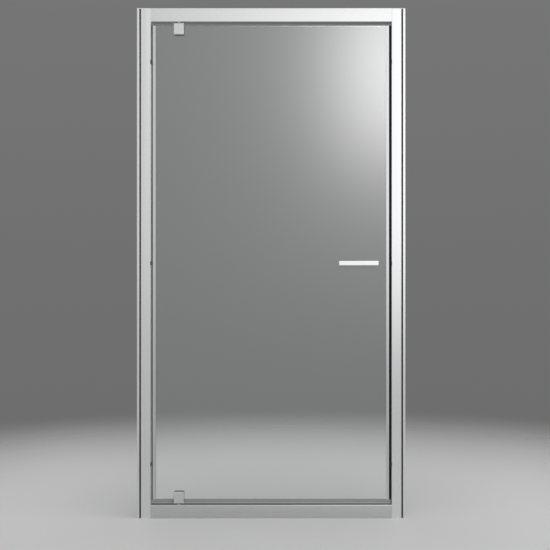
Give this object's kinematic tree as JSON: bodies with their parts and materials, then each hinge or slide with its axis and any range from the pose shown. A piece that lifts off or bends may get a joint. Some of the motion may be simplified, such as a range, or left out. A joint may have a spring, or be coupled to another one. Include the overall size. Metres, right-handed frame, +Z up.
{
  "type": "shower door",
  "caption": "Framed pivot shower door for an alcove: bright aluminium frame, clear glass leaf on offset pivots, magnetic closing edge and a short horizontal pull bar.",
  "frame": {"origin": "middle of the sill's underside, on the tray", "axes": "+X to the right seen from outside, +Y from outside into the shower, +Z up"},
  "size_m": [1, 0.08, 1.9],
  "materials": {
    "frame_aluminium": "bright anodised, polished",
    "hardware_chrome": "polished chrome plate",
    "clear_glass": "clear toughened glass with ground edges",
    "seal_plastic": "milky clear flexible plastic",
    "magnet_strip": "flexible magnet, black",
    "soft_lip": "soft grey lip",
    "gasket_rubber": "black sheet",
    "cover_plastic": "grey moulded cover",
    "cap_plastic": "light grey moulded cap",
    "bush_acetal": "white acetal",
    "housing_nylon": "black nylon",
    "screw_steel": "stainless steel",
    "pin_steel": "ground stainless steel",
    "adjuster_metal": "die-cast, tumbled"
  },
  "bodies": {
    "frame": {"adjuster_blocks_left": "adjuster_metal", "adjuster_blocks_right": "adjuster_metal", "adjuster_screws_left": "screw_steel", "adjuster_screws_right": "screw_steel", "corner_screws_left": "screw_steel", "corner_screws_right": "screw_steel", "head_housing_screws": "screw_steel", "head_pivot_bush": "bush_acetal", "head_pivot_housing": "housing_nylon", "head_rail": "frame_aluminium", "jamb_cap_left": "cap_plastic", "jamb_cap_right": "cap_plastic", "jamb_left": "frame_aluminium", "jamb_magnet": "magnet_strip", "jamb_magnet_holder": "magnet_strip", "jamb_right": "frame_aluminium", "screw_covers_left": "cover_plastic", "screw_covers_right": "cover_plastic", "sill_housing_screws": "screw_steel", "sill_pivot_bush": "bush_acetal", "sill_pivot_housing": "housing_nylon", "sill_pivot_washer": "bush_acetal", "sill_rail": "frame_aluminium", "wall_profile_left": "frame_aluminium", "wall_profile_right": "frame_aluminium", "wall_seal_left": "gasket_rubber", "wall_seal_right": "gasket_rubber"},
    "door": {"bottom_clamp_screws": "screw_steel", "bottom_clamp_sleeves": "bush_acetal", "bottom_pivot_inner_block": "hardware_chrome", "bottom_pivot_inner_gasket": "gasket_rubber", "bottom_pivot_outer_block": "hardware_chrome", "bottom_pivot_outer_gasket": "gasket_rubber", "bottom_pivot_pin": "pin_steel", "door_glass": "clear_glass", "drip_seal_hinge_side": "seal_plastic", "drip_seal_strike_side": "seal_plastic", "handle_inner_bar": "hardware_chrome", "handle_inner_gaskets": "gasket_rubber", "handle_inner_posts": "hardware_chrome", "handle_outer_bar": "hardware_chrome", "handle_outer_gaskets": "gasket_rubber", "handle_outer_posts": "hardware_chrome", "handle_sleeves": "bush_acetal", "handle_studs": "screw_steel", "head_pivot_washer": "bush_acetal", "hinge_edge_clip": "frame_aluminium", "hinge_edge_lip": "soft_lip", "strike_edge_clip": "frame_aluminium", "strike_edge_magnet": "magnet_strip", "top_clamp_screws": "screw_steel", "top_clamp_sleeves": "bush_acetal", "top_pivot_inner_block": "hardware_chrome", "top_pivot_inner_gasket": "gasket_rubber", "top_pivot_outer_block": "hardware_chrome", "top_pivot_outer_gasket": "gasket_rubber", "top_pivot_pin": "pin_steel"}
  },
  "joints": [
    {"name": "door_pivot", "type": "hinge", "parent": "frame", "child": "door", "pos_m": [-0.345, 0, 0], "axis": [0, 0, -1], "range_deg": [0, 90]}
  ]
}
